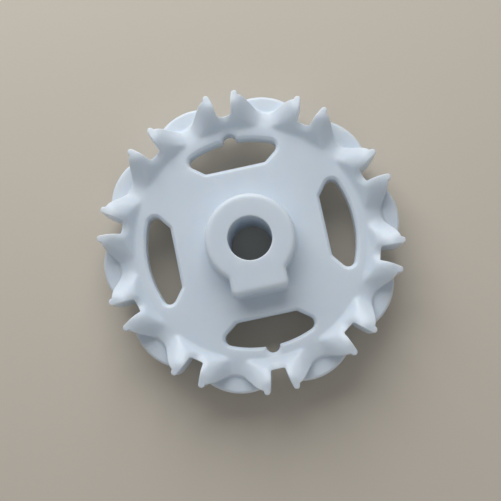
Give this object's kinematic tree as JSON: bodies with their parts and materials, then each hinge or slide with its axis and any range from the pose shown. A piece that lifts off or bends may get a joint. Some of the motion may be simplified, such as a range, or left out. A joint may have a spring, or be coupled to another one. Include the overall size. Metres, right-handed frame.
{
  "type": "belt sprocket",
  "caption": "Moulded plastic chain sprocket with paired horn teeth, scooped pockets on both faces, a windowed web and a bored hub with a side boss.",
  "frame": {"origin": "middle of the bore, on the middle plane of the sprocket", "axes": "+Z along the shaft bore, -Y towards the boss on the hub, +Y through a gap between two horns"},
  "size_m": [0.1742, 0.1738, 0.044],
  "materials": {
    "white_plastic": "satin, as moulded"
  },
  "bodies": {
    "root": {"sprocket": "white_plastic"}
  },
  "joints": []
}
